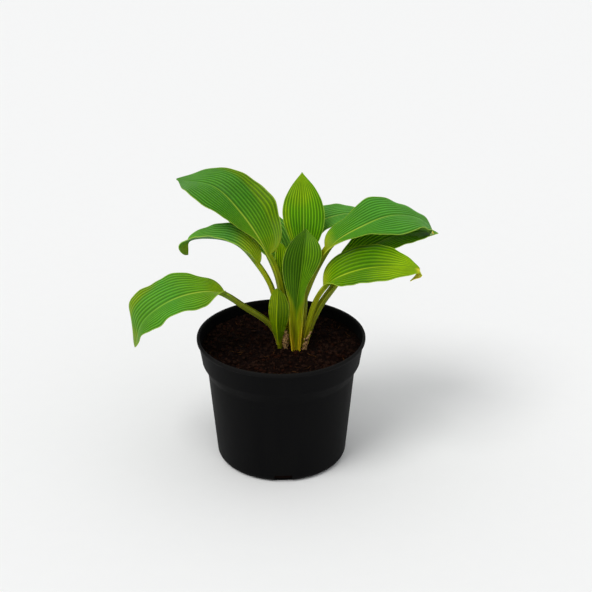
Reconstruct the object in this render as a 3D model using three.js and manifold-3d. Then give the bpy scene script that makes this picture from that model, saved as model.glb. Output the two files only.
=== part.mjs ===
// A hosta in a round nursery pot: the pot, its soil, the crown, twelve leaves and two dry scales.
// Millimetres, +Z up, +Y away from the front. The origin is the middle of the pot's flat underside.
import * as THREE from 'three';
import { mergeVertices } from 'three/addons/utils/BufferGeometryUtils.js';
import Module from 'manifold-3d';

const wasm = await Module();
wasm.setup();

// Pot: a two litre thin-walled nursery pot with a stepped band under its lip
const POT_HEIGHT = 133.6;
const LIP_RADIUS = 85.2;
const LIP_HEIGHT = 3.8;
const LIP_OVERHANG = 1.5;
const BAND_BOTTOM_RADIUS = 80.2;
const BAND_BOTTOM_HEIGHT = 107.5;
const WALL_TOP_RADIUS = 74.9;
const WALL_TOP_HEIGHT = 97;
const BASE_RADIUS = 67;
const CORNER_RADIUS = 7;
const WALL = 1.5;
const POT_SEGMENTS = 48;
const CORNER_STEPS = 4;

// Drain notches in the pot's bottom corner
const NOTCH_COUNT = 4;
const NOTCH_WIDTH = 18;
const NOTCH_HEIGHT = 8.5;
const NOTCH_REACH = 9;
const NOTCH_TURN = 2;

// Soil and crown
const GAP = 0.3;
const SOIL_INSET = 0.7;
const SOIL_HEIGHT = 121.5;
const SOIL_SEGMENTS = 40;
const SOIL_RINGS = 9;
const CROWN_CENTRE = [10, 0.5];
const CROWN_RADII = [23, 20.5];
const CROWN_BOTTOM = 96;
const CROWN_TOP = 121;
const CROWN_DOME = 1.6;
const CROWN_SEGMENTS = 28;

// Leaf stalks stand this high above the pot's underside, in holes in the crown
const FOOT_BOTTOM = 110;
const FOOT_TOP = 123;
const FOOT_CLEARANCE = 0.35;

// Leaf sections: a channelled stalk that opens into a ribbed blade
const STALK_FOLD = 22;
const STALK_ARCH = -48;
const STALK_EDGE = 1.3;
const BLADE_KEEL = 1.9;
const TIP_KEEL = 0.9;
const BLADE_EDGE = 0.75;
const TIP_HALF_WIDTH = 1.3;
const RIB_HEIGHT = 0.35;
const CURL_START = 0.55;   // share of the half-width where a curled margin starts to turn up
const CURL_SPREAD = 0.2;
const CURL_END = 0.35;     // share of the blade where the curl starts to fade out

// Each leaf: its foot in the crown, the points of its midrib from the foot to the tip, the compass
// bearing it leans towards, where the blade starts along the midrib, and the blade's left and right
// halves as seen from the clump: width, fold up from the midrib, arch down towards the margin, curl
// of the outer part, all in degrees. The outline's two exponents are for the rise from the stalk
// and the fall to the tip, the ripple is height, waves and phase, and the stalk is the half-width
// at its foot and neck and its thickness.
const LEAVES = [
  {
    name: 'leaf_upper_left', foot: [7, -1], bearing: 145,
    midrib: [[2, 3, 160], [-4, 7, 196], [-17, 16, 223], [-40, 32, 253], [-66, 50, 273], [-107, 79, 271]],
    bladeStart: 0.44, width: [33, 38.5], fold: [8, 26], arch: [20, 30], curl: [0, 42],
    outline: [[2.1, 1.4], [0.5, 0.6]], ripple: [1.2, 3, 0], stalk: [4.4, 3.6, 3],
  },
  {
    name: 'leaf_middle_left', foot: [1, 8], bearing: 174,
    midrib: [
      [-5, 11, 163], [-12, 13, 186], [-26, 15, 208], [-44, 16, 226], [-66, 17, 232], [-91, 18, 228],
      [-93, 18, 213.5],
    ],
    bladeStart: 0.51, width: [18, 20], fold: [30, 45], arch: [10, 20], curl: [0, 0],
    outline: [[0.8, 0.5], [0.6, 1.25]], ripple: [0.8, 2, 0], stalk: [4.2, 3.4, 2.8],
  },
  {
    name: 'leaf_lower_left', foot: [-2, 1], bearing: 195,
    midrib: [
      [-9, -1, 143], [-35, -11, 169], [-61, -18, 189], [-84, -24, 191], [-110, -32, 184.5], [-134, -38, 166],
      [-143, -40, 140],
    ],
    bladeStart: 0.46, width: [36.5, 48], fold: [14, 16], arch: [25, 20], curl: [0, 0],
    outline: [[0.6, 0.9], [0.75, 0.42]], ripple: [2, 2.3, 1], stalk: [4.4, 3.6, 3],
  },
  {
    name: 'leaf_centre_back', foot: [15, 11], bearing: 90,
    midrib: [[17, 15, 150], [19, 21, 185], [22, 31, 222], [22.5, 42, 258], [21, 55, 287]],
    bladeStart: 0.47, width: [21, 21], fold: [12, 12], arch: [10, 10], curl: [0, 0],
    outline: [[1.6, 1.1], [1.3, 1.1]], ripple: [0.6, 2, 0], stalk: [3.8, 3.2, 2.6],
  },
  {
    name: 'leaf_centre_front', foot: [15, -9], bearing: 88,
    midrib: [[15, -10, 145], [16, -6, 170], [20, 2, 200], [22.5, 12, 224], [25, 22, 240]],
    bladeStart: 0.38, width: [19.5, 19.5], fold: [24, 24], arch: [10, 10], curl: [0, 0],
    outline: [[1.4, 1.05], [3.3, 1.4]], ripple: [0.6, 2, 0], stalk: [4.4, 8.6, 3.2],
  },
  {
    name: 'leaf_upper_right', foot: [18, 2], bearing: 20,
    midrib: [
      [19.5, 3.5, 155], [26, 5.5, 179], [37.5, 9, 206], [51.5, 13.5, 227], [80, 24, 241.5], [110, 34, 249],
      [140, 45, 241], [155, 50, 223],
    ],
    bladeStart: 0.475, width: [32, 38], fold: [22, 4], arch: [15, 12], curl: [0, 0],
    outline: [[0.7, 0.68], [1.6, 1]], ripple: [2.6, 2, 2], stalk: [4.4, 5.2, 3],
  },
  {
    name: 'leaf_under_right', foot: [25, 3], bearing: 20,
    midrib: [
      [38.5, 8, 159], [55, 13.5, 182.5], [66, 18, 198], [88, 28, 216], [116, 40, 225], [140, 50, 224],
      [160.5, 59, 220],
    ],
    bladeStart: 0.42, width: [26.5, 26], fold: [22, 8], arch: [5, 15], curl: [0, 0],
    outline: [[0.65, 0.6], [0.9, 1.1]], ripple: [1, 2, 0], stalk: [4.4, 4.4, 2.9],
  },
  {
    name: 'leaf_lower_right', foot: [23, -5], bearing: 345,
    midrib: [
      [29, -7, 155], [37, -9, 181], [51, -12, 199], [77, -18, 213], [104, -26, 220], [124, -32, 222],
      [133.5, -35, 219], [125, -34, 208],
    ],
    bladeStart: 0.415, width: [41, 37], fold: [24, 6], arch: [15, 15], curl: [0, 0],
    outline: [[0.8, 1.75], [1.3, 1.5]], ripple: [1.2, 2, 0], stalk: [4.2, 3.4, 2.8],
  },
  {
    name: 'leaf_small_front', foot: [-1, -6], bearing: 250, columns: 4, rows: 8,
    midrib: [[-3, -12, 138], [-4, -15, 156], [-3.5, -14, 173], [-3, -9, 189]],
    bladeStart: 0.25, width: [11.5, 11], fold: [25, 25], arch: [0, 0], curl: [0, 0],
    outline: [[1.2, 0.75], [1.1, 0.65]], ripple: [0, 2, 0], stalk: [3.8, 3.2, 2.6],
  },
  {
    name: 'leaf_small_centre', foot: [8, 5.5], bearing: 110, columns: 4, rows: 8,
    midrib: [[7, 8.5, 150], [4, 13, 178], [1.5, 17, 203], [0, 20, 225]],
    bladeStart: 0.5, width: [8.5, 7], fold: [15, 20], arch: [0, 0], curl: [0, 0],
    outline: [[1, 0.6], [1, 0.6]], ripple: [0, 2, 0], stalk: [3.2, 2.8, 2.4],
  },
  {
    name: 'leaf_back_right', foot: [21, 12.5], bearing: 36,
    midrib: [
      [24, 21, 155], [25, 33, 190], [28, 45, 215], [38, 52, 234], [60, 62, 239], [86, 76, 235],
      [112, 90, 223],
    ],
    bladeStart: 0.42, width: [29, 22], fold: [8, 0], arch: [15, 10], curl: [0, 0],
    outline: [[0.85, 0.95], [1.5, 0.9]], ripple: [1, 2, 0], stalk: [4.2, 3.4, 2.8],
  },
  {
    name: 'leaf_back_left', foot: [8, 14], bearing: 135,
    midrib: [[8, 20, 160], [5, 29, 192], [-7, 43, 217], [-26, 60, 232], [-42, 74, 235], [-55, 85, 231]],
    bladeStart: 0.42, width: [28, 27], fold: [6, 12], arch: [15, 15], curl: [0, 0],
    outline: [[1.2, 0.9], [0.85, 0.95]], ripple: [1, 2, 0], stalk: [4.2, 3.4, 2.8],
  },
];

// Two short dry scales at the foot of the clump, made as small leaves are
const SCALES = [
  {
    name: 'dry_scale_left', foot: [4.5, -10], bearing: 265, columns: 2, rows: 3,
    midrib: [[4.5, -12, 133], [4.5, -12, 146]],
    bladeStart: 0.45, width: [2.4, 2.4], fold: [30, 30], arch: [-10, -10], curl: [0, 0],
    outline: [[0.5, 0.6], [0.5, 0.6]], ripple: [0, 1, 0], stalk: [2.6, 2.6, 1.2],
  },
  {
    name: 'dry_scale_right', foot: [24.5, -12], bearing: 320, columns: 2, rows: 3,
    midrib: [[26, -14, 134], [30, -16, 145]],
    bladeStart: 0.45, width: [3, 3], fold: [30, 30], arch: [-10, -10], curl: [0, 0],
    outline: [[0.5, 0.6], [0.5, 0.6]], ripple: [0, 1, 0], stalk: [2.8, 2.8, 1.2],
  },
];
const LEAF_COLUMNS = 6;
const LEAF_ROWS = 12;
const FOOT_COLUMNS = 3;
const STALK_ROWS = 5;

const group = new THREE.Group();

function addMesh(name, geometry, colour, roughness) {
  const material = new THREE.MeshStandardMaterial({ color: colour, roughness, metalness: 0 });
  const mesh = new THREE.Mesh(geometry, material);
  mesh.name = name;
  group.add(mesh);
}

// Solids for joining and cutting

function toSolid(geometry) {
  const bare = new THREE.BufferGeometry();
  bare.setAttribute('position', geometry.getAttribute('position'));
  if (geometry.index) {
    bare.setIndex(geometry.index);
  }
  const merged = mergeVertices(bare, 1e-4);
  const vertProperties = new Float32Array(merged.getAttribute('position').array);
  const triVerts = new Uint32Array(merged.index.array);
  return new wasm.Manifold(new wasm.Mesh({ numProp: 3, vertProperties, triVerts }));
}

function toGeometry(solid) {
  const mesh = solid.getMesh();
  const geometry = new THREE.BufferGeometry();
  geometry.setAttribute('position', new THREE.Float32BufferAttribute(mesh.vertProperties, 3));
  geometry.setIndex(new THREE.Uint32BufferAttribute(mesh.triVerts, 1));
  return geometry;
}

// Turns a profile of [radius, height] points about the vertical axis
function turned(profile, segments) {
  const points = profile.map(([radius, height]) => new THREE.Vector2(radius, height));
  return new THREE.LatheGeometry(points, segments).rotateX(Math.PI / 2);
}

const radians = (degrees) => THREE.MathUtils.degToRad(degrees);
const mix = (from, to, share) => from + (to - from) * share;
const ease = (value) => THREE.MathUtils.smoothstep(value, 0, 1);

// Pot

// The rounded bottom corner of the pot, or of what lies inside it at a smaller radius
function cornerArc(radius) {
  const points = [];
  for (let i = 0; i <= CORNER_STEPS; i += 1) {
    const angle = (i / CORNER_STEPS) * (Math.PI / 2);
    const x = BASE_RADIUS - CORNER_RADIUS + radius * Math.sin(angle);
    points.push([x, CORNER_RADIUS - radius * Math.cos(angle)]);
  }
  return points;
}

function makePot() {
  const lipBottom = POT_HEIGHT - LIP_HEIGHT;
  const bandTop = LIP_RADIUS - LIP_OVERHANG;
  const profile = [
    [0, 0],
    ...cornerArc(CORNER_RADIUS),
    [WALL_TOP_RADIUS, WALL_TOP_HEIGHT],
    [BAND_BOTTOM_RADIUS, BAND_BOTTOM_HEIGHT],
    [bandTop, lipBottom],
    [LIP_RADIUS, lipBottom + 0.6],
    [LIP_RADIUS, POT_HEIGHT - 1],
    [LIP_RADIUS - 0.9, POT_HEIGHT],
    [bandTop - WALL + 0.7, POT_HEIGHT],
    [bandTop - WALL, POT_HEIGHT - 0.8],
    [bandTop - WALL, lipBottom],
    [BAND_BOTTOM_RADIUS - WALL, BAND_BOTTOM_HEIGHT + WALL / 2],
    [WALL_TOP_RADIUS - WALL, WALL_TOP_HEIGHT + WALL / 2],
    ...cornerArc(CORNER_RADIUS - WALL).reverse(),
    [0, WALL],
  ];
  let pot = toSolid(turned(profile, POT_SEGMENTS));
  for (let i = 0; i < NOTCH_COUNT; i += 1) {
    const cutter = new THREE.BoxGeometry(2 * NOTCH_REACH, NOTCH_WIDTH, 2 * NOTCH_HEIGHT);
    cutter.translate(BASE_RADIUS, 0, 0);
    cutter.rotateZ(radians(NOTCH_TURN) + (i / NOTCH_COUNT) * 2 * Math.PI);
    pot = pot.subtract(toSolid(cutter));
  }
  addMesh('pot', toGeometry(pot), 0x1a1a1b, 0.62);
}

// Soil: fills the pot to below its rim, with an uneven top

function soilRelief(x, y) {
  const clods = 0.9 * Math.sin(x / 5.3 + 1.3) * Math.cos(y / 6.1 + 0.4);
  return clods + 0.6 * Math.sin((x + y) / 9.7) + 0.5 * Math.cos((x - 2 * y) / 13.1);
}

function makeSoil() {
  const floor = WALL + GAP;
  const bandShare = (SOIL_HEIGHT - BAND_BOTTOM_HEIGHT) / (POT_HEIGHT - LIP_HEIGHT - BAND_BOTTOM_HEIGHT);
  const topRadius = mix(BAND_BOTTOM_RADIUS, LIP_RADIUS - LIP_OVERHANG, bandShare) - WALL - SOIL_INSET;
  const profile = [
    [0, floor],
    ...cornerArc(CORNER_RADIUS - WALL - GAP),
    [WALL_TOP_RADIUS - WALL - GAP, WALL_TOP_HEIGHT + WALL / 2],
    [BAND_BOTTOM_RADIUS - WALL - SOIL_INSET, BAND_BOTTOM_HEIGHT + WALL / 2],
  ];
  for (let ring = 0; ring <= SOIL_RINGS; ring += 1) {
    profile.push([topRadius * (1 - ring / SOIL_RINGS), SOIL_HEIGHT]);
  }
  const geometry = turned(profile, SOIL_SEGMENTS);
  const position = geometry.getAttribute('position');
  for (let i = 0; i < position.count; i += 1) {
    if (position.getZ(i) > SOIL_HEIGHT - 0.01) {
      position.setZ(i, SOIL_HEIGHT + soilRelief(position.getX(i), position.getY(i)));
    }
  }
  const hole = new THREE.CylinderGeometry(1, 1, 2 * (SOIL_HEIGHT - CROWN_BOTTOM), CROWN_SEGMENTS);
  hole.rotateX(Math.PI / 2);
  hole.scale(CROWN_RADII[0] + GAP, CROWN_RADII[1] + GAP, 1);
  hole.translate(CROWN_CENTRE[0], CROWN_CENTRE[1], CROWN_BOTTOM - GAP + SOIL_HEIGHT - CROWN_BOTTOM);
  addMesh('soil', toGeometry(toSolid(geometry).subtract(toSolid(hole))), 0x2a1b15, 0.97);
}

// Leaves

// Half-width of the leaf at a share of the blade, which is below 0 on the stalk
function halfWidth(leaf, blade, side) {
  const [footWidth, neckWidth] = leaf.stalk;
  if (blade <= 0) {
    return mix(footWidth, neckWidth, ease(1 + blade));
  }
  const [rise, fall] = leaf.outline[side];
  const peak = rise / (rise + fall);
  const top = peak ** rise * (1 - peak) ** fall;
  const ovate = leaf.width[side] * (blade ** rise * (1 - blade) ** fall) / top;
  const neck = mix(neckWidth, TIP_HALF_WIDTH, blade);
  return Math.hypot(ovate, neck);
}

// Local angles and thicknesses of the leaf's section
function sectionAt(leaf, blade, side) {
  const open = ease((blade + 0.08) / 0.3);
  const close = ease((blade - 0.75) / 0.25);
  return {
    fold: radians(mix(STALK_FOLD, mix(leaf.fold[side], leaf.fold[side] / 2, close), open)),
    arch: radians(mix(STALK_ARCH, leaf.arch[side], open)),
    curl: radians(mix(0, leaf.curl[side] * (1 - ease((blade - CURL_END) / 0.3)), open)),
    keel: mix(leaf.stalk[2], mix(BLADE_KEEL, TIP_KEEL, Math.max(0, blade)), open),
    edge: mix(STALK_EDGE, BLADE_EDGE, open),
  };
}

// Points of one half of a section from the midrib outwards, as [across, up, thickness, angle]
function halfSection(leaf, blade, side, columns, grow) {
  const { fold, arch, curl, keel, edge } = sectionAt(leaf, blade, side);
  const width = halfWidth(leaf, blade, side) + grow;
  const [wave, count, phase] = leaf.ripple;
  const inBlade = THREE.MathUtils.clamp(blade, 0, 1);
  const swell = Math.sqrt(Math.sin(Math.PI * inBlade));
  const points = [[0, 0, keel, 0]];
  let across = 0;
  let up = 0;
  for (let j = 1; j <= columns; j += 1) {
    const share = (j - 0.5) / columns;
    const angle = fold - arch * share + curl * ease((share - CURL_START) / CURL_SPREAD);
    across += (width / columns) * Math.cos(angle);
    up += (width / columns) * Math.sin(angle);
    const reach = j / columns;
    const rib = j < columns ? RIB_HEIGHT * swell * (j % 2 === 1 ? 1 : -1) : 0;
    const lift = wave * swell * reach ** 2 * Math.sin(2 * Math.PI * count * inBlade + phase + side * 2);
    const thickness = mix(edge, keel, (1 - reach) ** 2);
    points.push([across, up + rib + lift, thickness, angle]);
  }
  return points;
}

// The leaf's solid: rows of sections along the midrib, with the underside split as the top is
function leafGeometry(leaf, { grow = 0, footOnly = false } = {}) {
  const columns = footOnly ? FOOT_COLUMNS : leaf.columns ?? LEAF_COLUMNS;
  const bladeRows = leaf.rows ?? LEAF_ROWS;
  const foot = new THREE.Vector3(leaf.foot[0], leaf.foot[1], FOOT_BOTTOM + GAP - grow);
  const neck = new THREE.Vector3(leaf.foot[0], leaf.foot[1], FOOT_TOP);
  const curve = new THREE.CatmullRomCurve3(
    [foot, neck, ...leaf.midrib.map((p) => new THREE.Vector3(...p))], false, 'centripetal');
  curve.arcLengthDivisions = 400;
  const footShare = (FOOT_TOP + 2 - FOOT_BOTTOM) / curve.getLength();
  const shares = [0, footShare];
  for (let i = 1; i <= STALK_ROWS; i += 1) {
    shares.push(mix(footShare, leaf.bladeStart, i / STALK_ROWS));
  }
  for (let i = 1; i <= bladeRows; i += 1) {
    shares.push(mix(leaf.bladeStart, 1, i / bladeRows));
  }
  const bearing = radians(leaf.bearing);
  const left = new THREE.Vector3(-Math.sin(bearing), Math.cos(bearing), 0);
  const rows = (footOnly ? shares.slice(0, 3) : shares).map((share) => {
    const blade = share < leaf.bladeStart
      ? share / leaf.bladeStart - 1
      : (share - leaf.bladeStart) / (1 - leaf.bladeStart);
    const centre = curve.getPointAt(share);
    const along = curve.getTangentAt(share);
    const up = new THREE.Vector3().crossVectors(along, left).normalize();
    const across = new THREE.Vector3().crossVectors(up, along);
    const place = (x, y) => centre.clone().addScaledVector(across, x).addScaledVector(up, y);
    const top = [];
    const under = [];
    const put = ([x, y, thickness, angle], sign, add) => {
      const drop = thickness + grow;
      add(top, place(sign * (x - grow * Math.sin(angle)), y + grow * Math.cos(angle)));
      add(under, place(sign * (x + drop * Math.sin(angle)), y - drop * Math.cos(angle)));
    };
    const [leftHalf, rightHalf] = [0, 1].map((side) => halfSection(leaf, blade, side, columns, grow));
    leftHalf.forEach((point) => put(point, 1, (list, p) => list.push(p)));
    rightHalf.slice(1).forEach((point) => put(point, -1, (list, p) => list.unshift(p)));
    return [...top, ...under.reverse()];
  });
  return loft(rows, 2 * columns + 1);
}

// Joins rings of points into a closed solid: each ring is a top edge of `across` points, then its
// underside back again, and both faces are split along matching diagonals
function loft(rows, across) {
  const ring = 2 * across;
  const index = [];
  const at = (row, i) => row * ring + (i + ring) % ring;
  for (let row = 0; row + 1 < rows.length; row += 1) {
    for (let i = 0; i < ring; i += 1) {
      const [a, b, c, d] = [at(row, i), at(row, i + 1), at(row + 1, i + 1), at(row + 1, i)];
      if (i < across) {
        index.push(a, c, b, a, d, c);
      } else {
        index.push(a, d, b, b, d, c);
      }
    }
  }
  const last = rows.length - 1;
  for (let i = 0; i + 1 < across; i += 1) {
    const [a, b, c, d] = [i, i + 1, ring - 2 - i, ring - 1 - i];
    index.push(at(0, a), at(0, b), at(0, c), at(0, a), at(0, c), at(0, d));
    index.push(at(last, a), at(last, c), at(last, b), at(last, a), at(last, d), at(last, c));
  }
  const geometry = new THREE.BufferGeometry();
  const positions = rows.flat().flatMap((point) => point.toArray());
  geometry.setAttribute('position', new THREE.Float32BufferAttribute(positions, 3));
  geometry.setIndex(index);
  return geometry;
}

// Crown: the woody stub in the soil that the stalks grow from

function makeCrown() {
  const profile = [
    [0, CROWN_BOTTOM],
    [0.72, CROWN_BOTTOM],
    [0.94, mix(CROWN_BOTTOM, CROWN_TOP, 0.3)],
    [1, mix(CROWN_BOTTOM, CROWN_TOP, 0.65)],
    [0.98, CROWN_TOP],
    [0.6, CROWN_TOP + CROWN_DOME * 0.75],
    [0, CROWN_TOP + CROWN_DOME],
  ];
  const body = turned(profile, CROWN_SEGMENTS);
  body.scale(CROWN_RADII[0], CROWN_RADII[1], 1);
  body.translate(CROWN_CENTRE[0], CROWN_CENTRE[1], 0);
  let crown = toSolid(body);
  for (const leaf of [...LEAVES, ...SCALES]) {
    crown = crown.subtract(toSolid(leafGeometry(leaf, { grow: FOOT_CLEARANCE, footOnly: true })));
  }
  addMesh('crown', toGeometry(crown), 0x6f5a38, 0.85);
}

makePot();
makeSoil();
makeCrown();
for (const leaf of LEAVES) {
  addMesh(leaf.name, leafGeometry(leaf), 0x4f8f1e, 0.45);
}
for (const scale of SCALES) {
  addMesh(scale.name, leafGeometry(scale), 0x9a7b55, 0.9);
}

export default group;
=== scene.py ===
import math
import random

import bpy
import numpy as np
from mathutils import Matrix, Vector, noise


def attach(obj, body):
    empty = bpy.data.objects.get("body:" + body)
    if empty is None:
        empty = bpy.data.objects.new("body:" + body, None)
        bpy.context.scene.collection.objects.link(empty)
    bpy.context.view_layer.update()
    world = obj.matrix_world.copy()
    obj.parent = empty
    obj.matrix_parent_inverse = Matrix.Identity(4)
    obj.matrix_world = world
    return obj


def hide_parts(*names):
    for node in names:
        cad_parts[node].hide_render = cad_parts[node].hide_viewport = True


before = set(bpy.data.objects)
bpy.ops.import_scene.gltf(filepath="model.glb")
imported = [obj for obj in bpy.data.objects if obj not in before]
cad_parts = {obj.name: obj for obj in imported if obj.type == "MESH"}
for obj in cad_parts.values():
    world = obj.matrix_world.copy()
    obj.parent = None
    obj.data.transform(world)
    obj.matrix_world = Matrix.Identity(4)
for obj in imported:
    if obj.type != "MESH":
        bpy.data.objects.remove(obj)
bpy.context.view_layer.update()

mm = 0.001


# Small helpers

def linear(hexCode):
    values = [int(hexCode[i:i + 2], 16) / 255 for i in (1, 3, 5)]
    return tuple(v / 12.92 if v <= 0.04045 else ((v + 0.055) / 1.055) ** 2.4 for v in values) + (1.0,)


def setUp(tree, node, settings=None, links=None):
    # settings in small letters are the node's own; the others and the numbered ones are its inputs
    for name, value in (settings or {}).items():
        if isinstance(name, str) and name[0].islower():
            setattr(node, name, value)
        else:
            node.inputs[name].default_value = value
    for name, source in (links or {}).items():
        # a node given as a source stands for its first output that is in use
        if isinstance(source, bpy.types.Node):
            source = next(output for output in source.outputs if output.enabled)
        tree.links.new(source, node.inputs[name])
    return node


def addNode(tree, kind, settings=None, links=None):
    return setUp(tree, tree.nodes.new(kind), settings, links)


def fillRamp(node, stops):
    # a new ramp has its first and last stop, and the others are added between them
    elements = node.color_ramp.elements
    for element, (position, colour) in zip(elements, (stops[0], stops[-1])):
        element.position = position
        element.color = linear(colour)
    for position, colour in stops[1:-1]:
        elements.new(position).color = linear(colour)


def newMaterial(name):
    material = bpy.data.materials.new(name)
    material.use_nodes = True
    tree = material.node_tree
    return material, tree, tree.nodes["Principled BSDF"]


def makeActive(piece):
    bpy.ops.object.select_all(action="DESELECT")
    piece.select_set(True)
    bpy.context.view_layer.objects.active = piece


def applyModifiers(piece):
    makeActive(piece)
    for modifier in list(piece.modifiers):
        bpy.ops.object.modifier_apply(modifier=modifier.name)


def settle(piece, name, nodes):
    # place, turn and scale go into the mesh, and the piece rides on the part
    makeActive(piece)
    bpy.ops.object.transform_apply(location=True, rotation=True, scale=True)
    piece.name = name
    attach(piece, "root")
    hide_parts(*nodes)


def smooth(value):
    value = np.clip(value, 0, 1)
    return value * value * (3 - 2 * value)


def mixed(start, end, share):
    return start + (end - start) * share


# Materials

# Living hosta leaf: a waxy skin over soft green tissue, so it shines softly and lets some light through.
# The colours run from the foot of the stalk to the tip, and are those of the raised ribs. Each leaf may have
# its own shades: young leaves are yellower, upright ones partly with painted light coming through them, and
# the bluer middle and tip tones of leaves that face the sky are partly painted sheen.
leafTones = {
    "foot": "#C2B022", "stalk": "#94A010", "base": "#80A60C", "middle": "#5E9A24", "tip": "#629E30",
    "pale": "#92B00C", "midrib": "#A8BE3C", "streak": "#66660C", "margin": "#A2B640",
    "hollowTintAndShade": "#B4C49A",        # what the hollows between the ribs keep of the colour: partly the tissue's own darker green, partly painted shade in the hollows
    "veinFrom": -0.45,          # the nearer to 1, the thinner the bright veins
    "dryTip": "#E2C234",
    "yellowFrom": 2.0,             # where along the leaf the tip is drawn yellow: past 1, nowhere
}
undersideTones = {
    **leafTones,
    "foot": "#B8AA22", "stalk": "#96A41C", "base": "#7A9C34", "middle": "#6C9844", "tip": "#6C9848",
    "pale": "#8CA63C", "midrib": "#A4B658", "streak": "#666A20",
}
# upright leaves: thinner veins, and hollows kept lighter, which is painted light coming through the blade
backlitVeins = {"hollowTintAndShade": "#A2B87C", "veinFrom": 0.0}
leafSurface = {
    "bladeStart": 0.3,          # where the stalk ends in the UV map's length
    "roughness": 0.42,          # waxy cuticle
    "ior": 1.45, "specular": 0.09,
    "scatter": 0.35,            # how much of the light goes into the tissue
    "scatterRadius": (0.8, 1.2, 0.08),
    "scatterScale": 0.0012,     # light goes about 1 mm deep
}


def leafSkin(name, tone, dull=0.0):
    material, tree, shader = newMaterial(name)
    form = leafSurface
    uv = addNode(tree, "ShaderNodeUVMap", {"uv_map": "UVMap"})
    growth = addNode(tree, "ShaderNodeAttribute", {"attribute_name": "growth"})
    phase = addNode(tree, "ShaderNodeAttribute", {"attribute_name": "ribPhase"})
    pale = addNode(tree, "ShaderNodeAttribute", {"attribute_name": "pale"})
    split = addNode(tree, "ShaderNodeSeparateXYZ", links={"Vector": uv})
    fromMiddle = addNode(tree, "ShaderNodeMath", {"operation": "MULTIPLY_ADD", 1: 2.0, 2: -1.0},
                         {0: split.outputs["X"]})
    reach = addNode(tree, "ShaderNodeMath", {"operation": "ABSOLUTE"}, {0: fromMiddle})

    # colour along the leaf, paler in listed patches, which on several leaves are painted light where light
    # comes through a blade or falls on one half of it
    along = addNode(tree, "ShaderNodeValToRGB", links={"Fac": growth.outputs["Fac"]})
    fillRamp(along, [(0.05, tone["foot"]), (0.15, tone["stalk"]), (form["bladeStart"] - 0.03, tone["stalk"]),
                     (form["bladeStart"] + 0.07, tone["base"]), (0.6, tone["middle"]), (1.0, tone["tip"])])
    place = addNode(tree, "ShaderNodeTexCoord")
    patches = addNode(tree, "ShaderNodeTexNoise", {"Scale": 45.0, "Detail": 3.0, "Roughness": 0.55},
                      {"Vector": place.outputs["Object"]})
    patchShare = addNode(tree, "ShaderNodeMapRange",
                         {"From Min": 0.35, "From Max": 0.65, "To Min": 0.8, "To Max": 1.15},
                         {"Value": patches})
    paleShare = addNode(tree, "ShaderNodeMath", {"operation": "MULTIPLY", "use_clamp": True},
                        {0: pale.outputs["Fac"], 1: patchShare})
    tissue = addNode(tree, "ShaderNodeMix", {"data_type": "RGBA", "B": linear(tone["pale"])},
                     {"Factor": paleShare, "A": along})

    # ribs run from the stalk to the tip at fixed shares of the half-width, as the veins do
    turn = addNode(tree, "ShaderNodeMath", {"operation": "MULTIPLY", 1: 2 * math.pi},
                   {0: phase.outputs["Fac"]})
    cosine = addNode(tree, "ShaderNodeMath", {"operation": "COSINE"}, {0: turn})
    crest = addNode(tree, "ShaderNodeMapRange",
                    {"interpolation_type": "SMOOTHSTEP", "From Min": tone["veinFrom"], "From Max": 1.0},
                    {"Value": cosine})
    onBlade = addNode(tree, "ShaderNodeMapRange",
                      {"interpolation_type": "SMOOTHSTEP", "From Min": form["bladeStart"] - 0.07,
                       "From Max": form["bladeStart"] + 0.1, "To Min": 0.6}, {"Value": growth.outputs["Fac"]})
    # the hollows between the ribs are drawn darker: partly the tissue's own colour, partly painted shade
    hollowShare = addNode(tree, "ShaderNodeMath", {"operation": "SUBTRACT", 0: 1.0}, {1: crest})
    hollowOn = addNode(tree, "ShaderNodeMath", {"operation": "MULTIPLY"}, {0: hollowShare, 1: onBlade})
    ribbed = addNode(tree, "ShaderNodeMix",
                     {"data_type": "RGBA", "blend_type": "MULTIPLY", "B": linear(tone["hollowTintAndShade"])},
                     {"Factor": hollowOn, "A": tissue})

    # fine streaks between the veins, about a third of a millimetre wide and some centimetres long
    streakPlace = addNode(tree, "ShaderNodeMapping", {"Scale": (90.0, 5.0, 1.0)}, {"Vector": uv})
    streaks = addNode(tree, "ShaderNodeTexNoise", {"Scale": 1.0, "Detail": 3.0, "Roughness": 0.6},
                      {"Vector": streakPlace})
    streakShade = addNode(tree, "ShaderNodeMapRange",
                          {"From Min": 0.3, "From Max": 0.7, "To Min": 0.86, "To Max": 1.12},
                          {"Value": streaks})
    patchShade = addNode(tree, "ShaderNodeMapRange",
                         {"From Min": 0.3, "From Max": 0.7, "To Min": 0.9, "To Max": 1.08},
                         {"Value": patches})
    shade = addNode(tree, "ShaderNodeMath", {"operation": "MULTIPLY"}, {0: streakShade, 1: patchShade})
    shaded = addNode(tree, "ShaderNodeMix", {"data_type": "RGBA", "blend_type": "MULTIPLY", "Factor": 1.0},
                     {"A": ribbed, "B": shade})

    # the stalks carry olive and reddish streaks about a millimetre wide
    stalkPlace = addNode(tree, "ShaderNodeMapping", {"Scale": (13.0, 4.0, 1.0)}, {"Vector": uv})
    stalkStreaks = addNode(tree, "ShaderNodeTexNoise", {"Scale": 1.0, "Detail": 2.0, "Roughness": 0.5},
                           {"Vector": stalkPlace})
    streakShare = addNode(tree, "ShaderNodeMapRange",
                          {"interpolation_type": "SMOOTHSTEP", "From Min": 0.42, "From Max": 0.58,
                           "To Max": 0.95}, {"Value": stalkStreaks})
    offBlade = addNode(tree, "ShaderNodeMapRange",
                       {"From Min": form["bladeStart"] - 0.08, "From Max": form["bladeStart"] + 0.04,
                        "To Min": 1.0, "To Max": 0.0}, {"Value": growth.outputs["Fac"]})
    stalkShare = addNode(tree, "ShaderNodeMath", {"operation": "MULTIPLY"}, {0: streakShare, 1: offBlade})
    streaked = addNode(tree, "ShaderNodeMix", {"data_type": "RGBA", "B": linear(tone["streak"])},
                       {"Factor": stalkShare, "A": shaded})

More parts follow.
